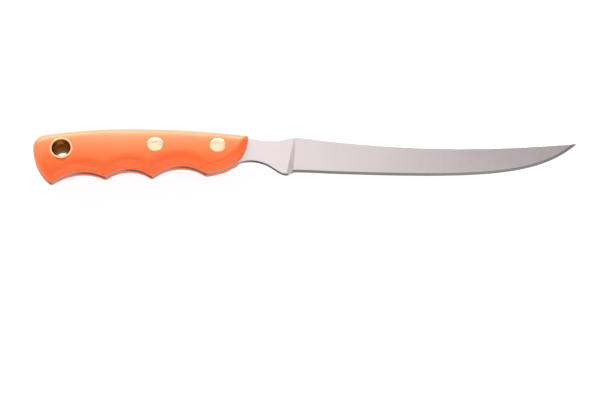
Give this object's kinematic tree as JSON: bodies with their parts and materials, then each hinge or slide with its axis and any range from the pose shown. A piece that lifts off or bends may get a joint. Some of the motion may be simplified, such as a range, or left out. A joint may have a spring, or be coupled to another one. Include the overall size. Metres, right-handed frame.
{
  "type": "fillet knife",
  "caption": "Fillet knife with a slim upswept blade, a full tang between contoured orange scales with finger grooves, flush brass rivets and a brass-lined lanyard hole.",
  "frame": {"origin": "bottom centre of the bounding box, under the middle of the knife as it lies on its left scale", "axes": "+X from the butt to the tip, +Y from the cutting edge to the spine, +Z from the left side to the right side"},
  "size_m": [0.2734, 0.0288, 0.0157],
  "materials": {
    "blade_steel": "satin",
    "orange_handle": "satin",
    "rivet_brass": "ground flush and polished",
    "tube_brass": "polished"
  },
  "bodies": {
    "root": {"blade": "blade_steel", "right_scale": "orange_handle", "left_scale": "orange_handle", "front_rivet_male": "rivet_brass", "front_rivet_female": "rivet_brass", "rear_rivet_male": "rivet_brass", "rear_rivet_female": "rivet_brass", "lanyard_tube": "tube_brass"}
  },
  "joints": []
}
